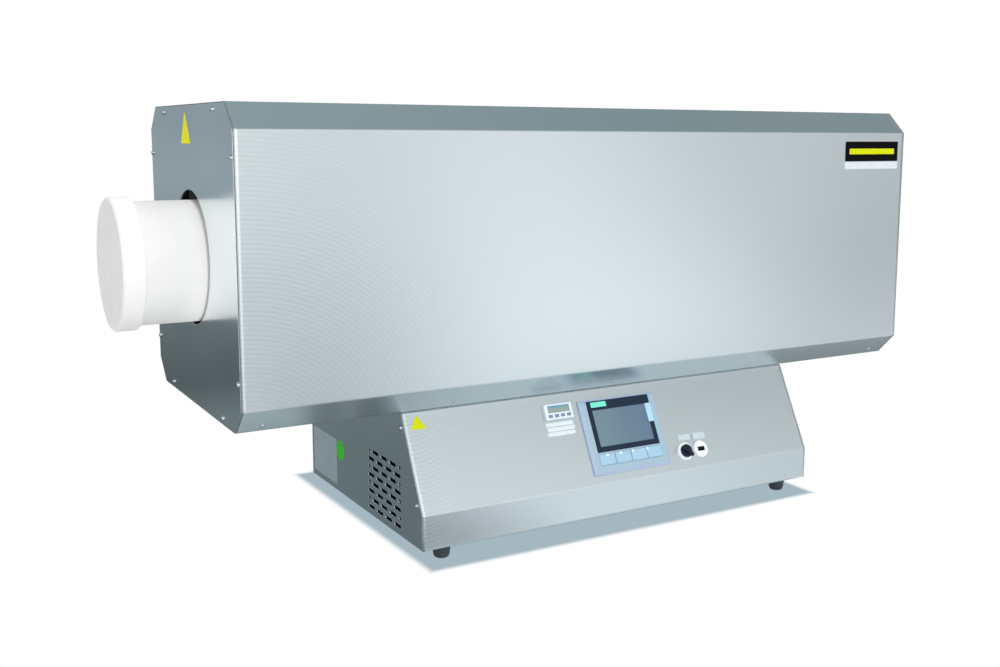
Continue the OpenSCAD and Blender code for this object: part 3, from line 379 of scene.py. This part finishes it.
def dark_glass():
    """The switched-off display: grey-blue, a little lighter towards its left, which is a
    painted reflection.
    """
    shader = Shader("display_glass", roughness=0.16)
    low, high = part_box("hmi_display")
    from_left = shader.remap(shader.axes(shader.place())["X"], low.x, high.x)
    # painted reflection: lighter at the display's left
    shader.color_by(from_left, [(0.0, (0.14, 0.23, 0.28)), (0.55, (0.115, 0.19, 0.25)),
                                (1.0, (0.10, 0.17, 0.26))])
    shader.relief(shader.noise(500), 0.004 * MM, 0.3)
    return shader.material


finishes = {
    "textured_stainless": textured_stainless("textured_stainless", COVER_HALF_L * MM),
    "plain_steel": sheet_steel("plain_steel", (0.86, 0.93, 0.95), 0.19),
    "inner_steel": sheet_steel("inner_steel", (0.42, 0.44, 0.45), 0.35),
    "screw_steel": sheet_steel("screw_steel", (0.50, 0.55, 0.58), 0.2, fold=0.3 * MM),
    "ceramic_fibre": fibre("ceramic_fibre", (0.86, 0.85, 0.81)),
    "plug_fibre": fibre("plug_fibre", (0.925, 0.92, 0.905), pore_size=380),
    "heating_wire": oxidised_wire(),
    "ceramic": unglazed_ceramic(),
    "foot_rubber": rubber(),
    "panel_bezel": bezel_plastic(),
    "panel_frame": plastic("panel_frame", (0.014, 0.026, 0.050), 0.35, grain=600,
                           specular=0.12),
    "display_glass": dark_glass(),
    "function_key": plastic("function_key", (0.34, 0.54, 0.71), 0.42, edge=0.3 * MM),
    "limiter_case": plastic("limiter_case", (0.74, 0.83, 0.89), 0.38),
    "limiter_glass": plastic("limiter_glass", (0.27, 0.34, 0.32), 0.2, grain=500),
    "limiter_button": plastic("limiter_button", (0.20, 0.25, 0.36), 0.45),
    "collar_white": plastic("collar_white", (0.84, 0.88, 0.90), 0.25),
    "knob_black": plastic("knob_black", (0.008, 0.014, 0.034), 0.42, specular=0.2),
    "module_grey": plastic("module_grey", (0.14, 0.15, 0.16), 0.5),
    "module_metal": sheet_steel("module_metal", (0.62, 0.63, 0.64), 0.3, fold=0.5 * MM),
    "fan_plastic": plastic("fan_plastic", (0.014, 0.014, 0.016), 0.45),
}


def dress_cad_nodes():
    """Gives every CAD node the finish that the record names for it. The base's front
    panel is shorter than the housing's cover, so it gets a pattern of its own."""
    own = {"base_front_panel": textured_stainless("base_stainless", BASE_HALF_L * MM)}
    for subpart in frame["record"]["subparts"]:
        name = subpart["node"]
        node = frame["nodes"][name]
        node.data.materials.clear()
        node.data.materials.append(own.get(name, finishes[subpart["material_slot"]]))


dress_cad_nodes()


# ---- Thin pieces: how they are made and placed --------------------------------------

def slope_frame(x, up, height=0):
    """Matrix of a place on the base's slope: local X across, Y up, Z out of the slope."""
    across = Vector((1, 0, 0))
    rise = Vector((0, math.sin(SLOPE_TILT), math.cos(SLOPE_TILT)))
    out = Vector((0, -math.cos(SLOPE_TILT), math.sin(SLOPE_TILT)))
    fold = Vector((0, BASE_FRONT_Y, FOLD_Z))
    place = fold + (across * x + rise * up + out * height) * MM
    return Matrix.Translation(place) @ Matrix((across, rise, out)).transposed().to_4x4()


def left_frame(x, y, z):
    """Matrix of a place on a surface that faces -X: local X towards -Y, Y up, Z out."""
    axes = Matrix(((0, -1, 0), (0, 0, 1), (-1, 0, 0))).transposed()
    return Matrix.Translation((x, y, z)) @ axes.to_4x4()


def front_frame(x, z):
    """Matrix of a place on the housing's front: local X across, Y up, Z out."""
    axes = Matrix(((1, 0, 0), (0, 0, 1), (0, -1, 0))).transposed()
    return Matrix.Translation((x, BODY_FRONT_Y, z)) @ axes.to_4x4()


def rounded_outline(corners, radius):
    """The corners, in mm, joined by straight sides with rounded corners."""
    steps = 6
    points = []
    for i, corner in enumerate(corners):
        here = Vector(corner)
        before = (Vector(corners[i - 1]) - here).normalized()
        after = (Vector(corners[(i + 1) % len(corners)]) - here).normalized()
        half = before.angle(after) / 2
        centre = here + (before + after).normalized() * (radius / math.sin(half))
        first = here + before * (radius / math.tan(half)) - centre
        last = here + after * (radius / math.tan(half)) - centre
        for step in range(steps + 1):
            points.append(centre + first.slerp(last, step / steps, first))
    return points


def rectangle(width, height, radius):
    w, h = width / 2, height / 2
    return rounded_outline([(-w, -h), (w, -h), (w, h), (-w, h)], radius)


def triangle(width, height, radius):
    w, h = width / 2, height / 2
    return rounded_outline([(-w, -h), (w, -h), (0, h)], radius)


def circle(radius):
    steps = 48
    turns = [2 * math.pi * i / steps for i in range(steps)]
    return [Vector((math.cos(turn), math.sin(turn))) * radius for turn in turns]


def join_rings(mesh, rings):
    """Faces between each ring of points and the next."""
    for low, high in zip(rings, rings[1:]):
        for i in range(len(low)):
            j = (i + 1) % len(low)
            mesh.faces.new((low[i], low[j], high[j], high[i]))


def add_piece(name, mesh, material, body="furnace", matrix=Matrix()):
    """Turns the mesh's faces outwards, puts it in its place and lets it ride on a body."""
    bmesh.ops.recalc_face_normals(mesh, faces=mesh.faces)
    mesh.transform(matrix)
    data = bpy.data.meshes.new(name)
    mesh.to_mesh(data)
    mesh.free()
    data.materials.append(material)
    piece = bpy.data.objects.new(name, data)
    bpy.context.scene.collection.objects.link(piece)
    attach(piece, body)
    return piece


def thin_piece(name, outline, thickness, matrix, material, body="furnace", crown=0.2):
    """A flat piece with the outline, in mm, and a narrow bevelled edge round its face."""
    mesh = bmesh.new()
    inset = min(crown, 0.45 * thickness)
    centre = sum((Vector(p) for p in outline), Vector((0, 0))) / len(outline)
    rings = []
    for height, shrink in ((0, 0), (thickness - inset, 0), (thickness, inset)):
        ring = []
        for point in outline:
            away = point - centre
            place = centre + away * (1 - shrink / away.length)
            ring.append(mesh.verts.new((place.x * MM, place.y * MM, height * MM)))
        rings.append(ring)
    join_rings(mesh, rings)
    mesh.faces.new(rings[-1])
    mesh.faces.new(rings[0][::-1])
    return add_piece(name, mesh, material, body, matrix)


def film(name, color, roughness=0.35, specular=0.2):
    """Printed adhesive film, very slightly uneven where it is stuck on."""
    shader = Shader(name, roughness=roughness, specular=specular)
    shader.color(shader.noise(45, detail=2.0), *tones(color, 0.03))
    shader.relief(shader.noise(130, detail=2.0), 0.03 * MM, 0.4)
    return shader.material


yellow_film = film("yellow_film", (0.61, 0.665, 0.006), 0.5, specular=0.05)
# the same yellow made lighter for the end panel's triangle, to make up for the shade there:
# painted light
yellow_film_lightened_for_shade = film("yellow_film_lightened_for_shade", (0.96, 0.94, 0.008), 0.5, specular=0.05)
green_film = film("green_film", (0.055, 0.74, 0.018))
black_film = film("black_film", (0.003, 0.003, 0.003), 0.4, specular=0.04)
white_film = film("white_film", (0.68, 0.76, 0.79))
grey_film = film("grey_film", (0.52, 0.62, 0.665))
plate_film = film("plate_film", (0.42, 0.52, 0.56), 0.32)
label_film = film("label_film", (0.66, 0.72, 0.75), 0.3)
mint_film = film("mint_film", (0.18, 0.80, 0.60))
blue_film = film("blue_film", (0.42, 0.66, 0.84))
tick_film = film("tick_film", (0.90, 0.97, 1.0))
# dark film for the strips in the end joints: painted shade of the gap
gap_shade_film = film("gap_shade_film", (0.17, 0.20, 0.21), 0.6, specular=0.1)
teal_film = film("teal_film", (0.15, 0.33, 0.42))


# ---- Thin pieces: seals, stickers, plates and labels --------------------------------

GAP_SHADE_END = 584.7
GAP_SHADE_OUTER = 0.15       # how far the dark strip's edges lie inside the housing's outline
GAP_SHADE_INNER = 1.45
NAME_PLATE_X = 508.5 * MM
PLATE_T = 0.5
PRINT_T = 0.1
PRINT_CROWN = 0.04


def octagon(inset):
    """Outline of the housing's end, in mm, as far inside its outer edge as the inset."""
    y, z = BODY_HALF_D - inset, BODY_HALF_H - inset
    leg = CHAMFER - inset * (2 - math.sqrt(2))
    return [(y - leg, -z), (y, leg - z), (y, z - leg), (y - leg, z),
            (leg - y, z), (-y, z - leg), (-y, leg - z), (leg - y, -z)]


def end_gap_shade(name, side):
    """Dark strip in the joint between the cover's end and an end panel: painted shade of the
    gap there.
    """
    mesh = bmesh.new()
    rings = []
    for x, inset in ((COVER_HALF_L, GAP_SHADE_OUTER), (GAP_SHADE_END, GAP_SHADE_OUTER),
                     (GAP_SHADE_END, GAP_SHADE_INNER), (COVER_HALF_L, GAP_SHADE_INNER)):
        rings.append([mesh.verts.new((side * x * MM, AXIS_Y + y * MM,
                                      (BODY_MIDDLE_Z + z) * MM))
                      for y, z in octagon(inset)])
    join_rings(mesh, rings + rings[:1])
    add_piece(name, mesh, gap_shade_film)


def housing_stickers():
    """Plain plates and a plain triangle on the furnace housing."""
    plate = front_frame(NAME_PLATE_X, 559 * MM)
    bar = plate @ Matrix.Translation((0, 0, PLATE_T * MM))
    strip = front_frame(NAME_PLATE_X, 535.6 * MM)
    corner = left_frame(BODY_LEFT_X, AXIS_Y + 10 * MM, 592.5 * MM)
    thin_piece("name_plate", rectangle(125, 34, 1.5), PLATE_T, plate, black_film)
    thin_piece("name_plate_bar", rectangle(106, 9.8, 1.2), 0.2, bar, yellow_film)
    thin_piece("name_plate_strip", rectangle(125, 12, 1.0), 0.4, strip, label_film)
    # the end panel's triangle gets the yellow that is lightened against shade: painted light
    thin_piece("end_panel_triangle", triangle(51, 46, 2.0), 0.3, corner, yellow_film_lightened_for_shade)


def base_stickers():
    """Bare rating plate and round sticker on the base's side, triangle on its slope."""
    plate = left_frame(BASE_LEFT_X, AXIS_Y + 124 * MM, 66.5 * MM)
    dot = left_frame(BASE_LEFT_X, AXIS_Y + 56 * MM, 89 * MM)
    thin_piece("rating_plate", rectangle(102, 75, 1.5), 0.4, plate, plate_film)
    thin_piece("round_sticker", circle(15.5), 0.2, dot, green_film)
    warning = thin_piece("slope_triangle", triangle(25.5, 21.5, 1.2), 0.25,
                         slope_frame(-329.6, 131), yellow_film)
    warning.visible_glossy = False


def panel_labels():
    """Bare label strips under the limiter and over the switch and the socket."""
    for i, (x, up) in enumerate(((-103.8, 99.6), (-102.8, 92.4), (-103.6, 85.2))):
        thin_piece(f"limiter_label_{i + 1}", rectangle(47, 5.2, 0.6), 0.35,
                   slope_frame(x, up), white_film)
    for name, height, x, up in (("switch_label", 9.6, 112.5, 49.8),
                                ("socket_label", 10, 141.5, 49)):
        thin_piece(name, rectangle(23, height, 0.8), 0.9, slope_frame(x, up), grey_film)


def operating_panel_prints():
    """Plain patches that are printed on the operating panel and on the limiter."""
    panel_face = HMI_T + 0.2
    for name, outline, place, material in (
            ("panel_patch", rectangle(27, 7, 0.5),
             slope_frame(HMI_X - 36, HMI_UP + 48.7, panel_face), mint_film),
            ("panel_column", rectangle(9, 28, 0.4),
             slope_frame(HMI_X + 52.9, HMI_UP + 26, panel_face), blue_film),
            ("limiter_header", rectangle(36, 2.6, 0.3),
             slope_frame(LIMITER_X, LIMITER_UP + 7.4, LIMITER_FACE), teal_film)):
        thin_piece(name, outline, PRINT_T, place, material, crown=PRINT_CROWN)


def key_ticks():
    """Small light tick near the upper edge of each function key."""
    for i, x in enumerate((-42, -18, 4.4, 31.6)):
        place = slope_frame(HMI_X + x, HMI_UP - 29.2, HMI_T + KEY_PROUD)
        thin_piece(f"key_tick_{i + 1}", rectangle(3, 2, 0.5), 0.08, place, tick_film,
                   body=f"hmi_key_{i + 1}", crown=0.03)


# dark strips in both end joints: painted shade of the gaps
end_gap_shade("end_gap_shade_left", -1)
end_gap_shade("end_gap_shade_right", 1)
housing_stickers()
base_stickers()
panel_labels()
operating_panel_prints()
key_ticks()


# ---- Camera -----------------------------------------------------------------------

CAMERA_PLACE = (-0.98645, AXIS_Y - 1.607986, 0.58345)
CAMERA_YAW, CAMERA_PITCH, CAMERA_ROLL = (math.radians(a) for a in (30.5445, -8.1159, 0.2388))


def camera():
    yaw, pitch, roll = CAMERA_YAW, CAMERA_PITCH, CAMERA_ROLL
    forward = Vector((math.sin(yaw) * math.cos(pitch), math.cos(yaw) * math.cos(pitch),
                      math.sin(pitch)))
    level = Vector((math.cos(yaw), -math.sin(yaw), 0))
    upright = level.cross(forward)
    right = math.cos(roll) * level + math.sin(roll) * upright
    up = math.cos(roll) * upright - math.sin(roll) * level
    data = bpy.data.cameras.new("camera")
    data.sensor_fit = "HORIZONTAL"
    data.sensor_width = 36
    data.lens = 41.155
    data.shift_x = -0.02893
    data.shift_y = -0.03505
    made = bpy.data.objects.new("camera", data)
    bpy.context.scene.collection.objects.link(made)
    turn = Matrix((right, up, -forward)).transposed().to_4x4()
    made.matrix_world = Matrix.Translation(CAMERA_PLACE) @ turn
    bpy.context.scene.camera = made


# ---- Floor and world ----------------------------------------------------------------

FLOOR_REACH = 40
WORLD_LIGHT = 0.68
SHADOW_HALF_X = 352.5 * MM
SHADOW_FRONT_Y = BASE_FRONT_Y - 22.5 * MM
SHADOW_BACK_Y = 264 * MM
SHADOW_WIDENS = 0.0165              # half width gained for each metre to the back
SHADOW_OUTSIDE = -9 * MM            # the soft edge, from outside to inside
SHADOW_INSIDE = 7 * MM
# colour of the painted shadow under the base
SHADOW_TONE = (0.376, 0.474, 0.527)
OPEN_FLOOR, COVERED_FLOOR = 0.95, 0.80    # shares of the sky seen from the floor
COVER_REACH = 300 * MM


def wall_y(y, x, z):
    return [(x[0], y, z[0]), (x[1], y, z[0]), (x[1], y, z[1]), (x[0], y, z[1])]


def wall_x(x, y, z):
    return [(x, y[0], z[0]), (x, y[1], z[0]), (x, y[1], z[1]), (x, y[0], z[1])]


def flat(z, x, y):
    return [(x[0], y[0], z), (x[1], y[0], z), (x[1], y[1], z), (x[0], y[1], z)]


def quad(name, corners, material):
    data = bpy.data.meshes.new(name)
    data.from_pydata(corners, [], [(0, 1, 2, 3)])
    data.materials.append(material)
    made = bpy.data.objects.new(name, data)
    bpy.context.scene.collection.objects.link(made)
    return made


def inside_the_painted_shadow(shader):
    """How far a point of the floor lies inside the painted shadow's outline, in metres. The
    outline is a little wider at the back."""
    place = shader.axes(shader.place())
    middle = (SHADOW_FRONT_Y + SHADOW_BACK_Y) / 2
    half = shader.add(shader.multiply(place["Y"], SHADOW_WIDENS), SHADOW_HALF_X)
    sideways = shader.math("ABSOLUTE", place["X"])
    lengthways = shader.math("ABSOLUTE", shader.subtract(place["Y"], middle))
    return shader.math("MINIMUM", shader.subtract(half, sideways),
                       shader.subtract(SHADOW_BACK_Y - middle, lengthways))


def painted_shadow(shader):
    """The painted shadow of the base, crisp and even: an outline drawn round the base's
    footprint and coloured into the floor. It is there only where the object itself stands
    close over the floor."""
    outline = shader.remap(inside_the_painted_shadow(shader), SHADOW_OUTSIDE, SHADOW_INSIDE,
                           interpolation_type="SMOOTHSTEP")
    close = shader.node("ShaderNodeAmbientOcclusion", samples=16)
    close.inputs["Distance"].default_value = COVER_REACH
    covered = shader.remap(close.outputs["AO"], OPEN_FLOOR, COVERED_FLOOR)
    return shader.multiply(outline, covered)


def floor():
    """White floor with a painted shadow of the base."""
    shader = Shader("floor", roughness=0.9)
    shader.surface.inputs["Base Color"].default_value = (0.8, 0.8, 0.8, 1)
    glow = shader.emission()
    shader.link(shader.ramp(painted_shadow(shader), [(0.0, (1.0, 1.0, 1.0)),
                                                 (1.0, SHADOW_TONE)]), glow.inputs["Color"])
    either = shader.node("ShaderNodeMixShader")
    shader.link(shader.shown_directly(), either.inputs["Fac"])
    shader.link(shader.surface.outputs["BSDF"], either.inputs[1])
    shader.link(glow.outputs["Emission"], either.inputs[2])
    shader.show(either.outputs["Shader"])
    reach = (-FLOOR_REACH, FLOOR_REACH)
    quad("floor", flat(0, reach, reach), shader.material)


def world():
    """White wherever it is seen, and soft light from all sides on the object."""
    made = bpy.data.worlds.new("world")
    made.use_nodes = True
    bpy.context.scene.world = made
    nodes = Nodes(made.node_tree)
    background = nodes.tree.nodes["Background"]
    background.inputs["Color"].default_value = (1, 1, 1, 1)
    nodes.link(nodes.remap(nodes.shown_directly(), 0.0, 1.0, WORLD_LIGHT, 1.0),
               background.inputs["Strength"])


# ---- Cards that the steel reflects --------------------------------------------------

NEUTRAL = (0.97, 1.0, 1.01)
CEILING_BLUE = (0.82, 1.0, 1.03)
BACK_BLUE = (0.87, 1.02, 1.12)
FLOOR_BLUE = (0.85, 1.0, 1.01)
SIDE_BLUE = (0.83, 1.02, 1.06)
PALE_BLUE = (0.93, 1.0, 1.04)
FAN_X, FAN_Y = -0.99, 1.2
SCREEN_STRENGTH = 1.6


def along(axis, first, last):
    """Share of the way from first to last along an axis."""
    def share(shader):
        return shader.remap(shader.axes(shader.place())[axis], first, last)
    return share


def fanned(shader):
    """A share that fans out over the floor and the front wall, from left to right."""
    place = shader.axes(shader.place())
    sideways = shader.add(place["X"], -FAN_X)
    forward = shader.subtract(FAN_Y, place["Y"])
    return shader.math("DIVIDE", sideways, forward)


def hang_card(name, corners, shader, glow):
    """A card that only reflections see, with the emission node as its whole surface."""
    shader.show(glow.outputs["Emission"])
    card = quad(name, corners, shader.material)
    card.visible_camera = False
    card.visible_diffuse = False
    card.visible_shadow = False
    card.visible_transmission = False
    card.visible_volume_scatter = False


def reflected_card(name, corners, share, stops, tint=NEUTRAL):
    """A card whose brightness follows the stops along the share."""
    shader = Shader(name)
    glow = shader.emission()
    level = shader.ramp(share(shader), [(place, [part * shade for part in tint])
                                        for place, shade in stops])
    shader.link(level, glow.inputs["Color"])
    hang_card(name, corners, shader, glow)


def cards_behind():
    """Grey cards above, behind and beside the object."""
    reflected_card("card_overhead", flat(3.0, (-6, 8), (-3, 3.5)), along("X", 0, 3.3),
                   [(0.0, 0.42), (0.5, 0.39), (1.0, 0.31)], CEILING_BLUE)
    far = [(0.0, 0.178), (0.16, 0.363), (0.24, 0.31), (1.0, 0.53)]
    for name, corners in (("card_back", wall_y(3.2, (-6, 6), (0, 2.6))),
                          ("card_left", wall_x(-6, (-3.5, 3.2), (0, 2.6)))):
        reflected_card(name, corners, along("Z", 0, 2.6), far, BACK_BLUE)
    reflected_card("card_right", wall_x(4.8, (-2.5, 3.2), (0, 2.6)), along("Z", 0, 2.6),
                   [(0.0, 0.6), (1.0, 0.8)])
    reflected_card("card_floor_left", flat(0.003, (-3, -0.354), (-0.36, 3.2)),
                   along("Y", -0.2, 2.0), [(0.0, 0.155), (0.25, 0.168), (0.42, 0.19),
                                           (0.56, 0.098), (1.0, 0.16)], SIDE_BLUE)
    reflected_card("card_floor_corner", flat(0.004, (-1.2, -0.42), (-0.36, -0.10)),
                   along("X", -1.2, -0.42), [(0.0, 0.56), (1.0, 0.58)], FLOOR_BLUE)
    reflected_card("card_floor_right", flat(0.003, (0.354, 3), (-0.22, 3.2)),
                   along("Y", -0.2, 2.0), [(0.0, 0.28), (1.0, 0.2)], FLOOR_BLUE)


def cards_in_front():
    """Pale cards before the object, on the floor and on the wall."""
    reflected_card("card_front", wall_y(-3.6, (-0.5, 6), (0, 1.25)), fanned,
                   [(0.29, 1.07), (0.37, 0.54), (0.45, 0.96), (0.556, 1.24), (0.81, 0.84),
                    (1.06, 0.45)])
    reflected_card("card_floor_front", flat(0.003, (-1.5, 4.5), (-3.6, -1.0)), fanned,
                   [(0.29, 0.76), (0.37, 0.44), (0.45, 0.78), (0.556, 1.44), (0.81, 1.30),
                    (1.06, 0.46)])
    reflected_card("card_floor_near", flat(0.003, (-0.4, 1.2), (-0.99, -0.262)),
                   along("X", -0.27, 0.41), [(0.0, 0.40), (0.3, 0.88), (0.55, 0.86),
                                             (1.0, 0.74)], PALE_BLUE)
    reflected_card("card_front_high", wall_y(-3.6, (-0.5, 6), (1.9, 3.6)), fanned,
                   [(0.56, 1.06), (0.75, 0.86), (1.05, 0.48)])


def bright_cards():
    """White screens at the left front, which the folded edges catch."""
    for name, corners in (("screen_front", wall_y(-3.5, (-3, -0.6), (0, 2.2))),
                          ("screen_left", wall_x(-3, (-3.5, 0.2), (0, 2.2)))):
        shader = Shader(name)
        hang_card(name, corners, shader, shader.emission(SCREEN_STRENGTH))


# ---- Lamps --------------------------------------------------------------------------

PANEL_LIGHT_X = -0.5857     # just outside the left end panel
PANEL_LIGHT_Z = 0.408


def lamp(name, place, target, size, power):
    data = bpy.data.lights.new(name, "AREA")
    data.shape = "RECTANGLE"
    data.size, data.size_y = size
    data.energy = power
    made = bpy.data.objects.new(name, data)
    bpy.context.scene.collection.objects.link(made)
    turn = (Vector(target) - Vector(place)).to_track_quat("-Z", "Y")
    made.matrix_world = Matrix.Translation(place) @ turn.to_matrix().to_4x4()
    made.visible_glossy = False


def lamps():
    """Three soft studio lamps, and a weak one that lights the working tube's left end."""
    lamp("key_light", (0.6, -2.6, 2.4), (0, 0, 0.35), (2.4, 1.6), power=40)
    lamp("top_light", (0.2, 0.3, 3.0), (0, 0, 0.3), (3.0, 2.0), power=20)
    lamp("fill_light", (-1.2, -2.6, 1.0), (-0.6, 0, 0.4), (1.2, 1.2), power=14)
    lamp("panel_light", (PANEL_LIGHT_X, AXIS_Y, PANEL_LIGHT_Z),
         (-1.6, AXIS_Y, PANEL_LIGHT_Z), (0.22, 0.22), power=0.08)


camera()
floor()
world()
cards_behind()
cards_in_front()
bright_cards()
lamps()
bpy.context.scene.view_settings.view_transform = "Standard"
